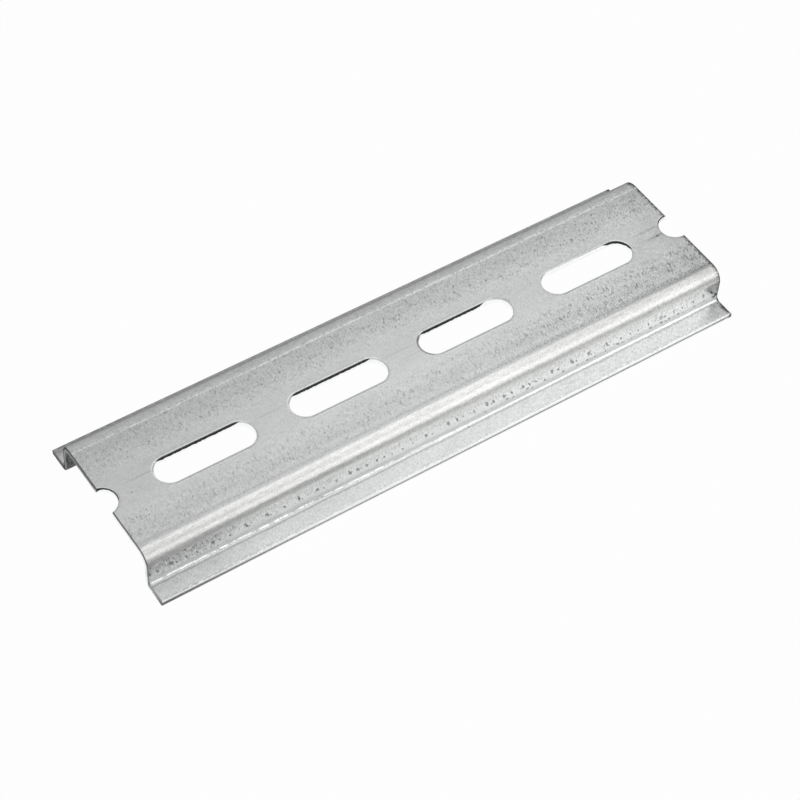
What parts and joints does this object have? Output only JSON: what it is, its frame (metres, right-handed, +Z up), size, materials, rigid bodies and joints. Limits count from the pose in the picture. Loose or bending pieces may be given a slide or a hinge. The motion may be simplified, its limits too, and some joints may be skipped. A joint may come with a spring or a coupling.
{
  "type": "din rail",
  "caption": "Slotted top-hat mounting rail in galvanised sheet steel: a raised web with a row of long slots between two flanges that devices clip over.",
  "frame": {"origin": "under the middle of the rail, on the floor that the undersides of the two flanges stand on", "axes": "+X along the rail, +Y across it, +Z up out of the outer face of the web, which is the face that is screwed to a panel"},
  "size_m": [0.112, 0.035, 0.0075],
  "materials": {
    "galvanised_steel": "galvanised"
  },
  "bodies": {
    "root": {"rail": "galvanised_steel"}
  },
  "joints": []
}
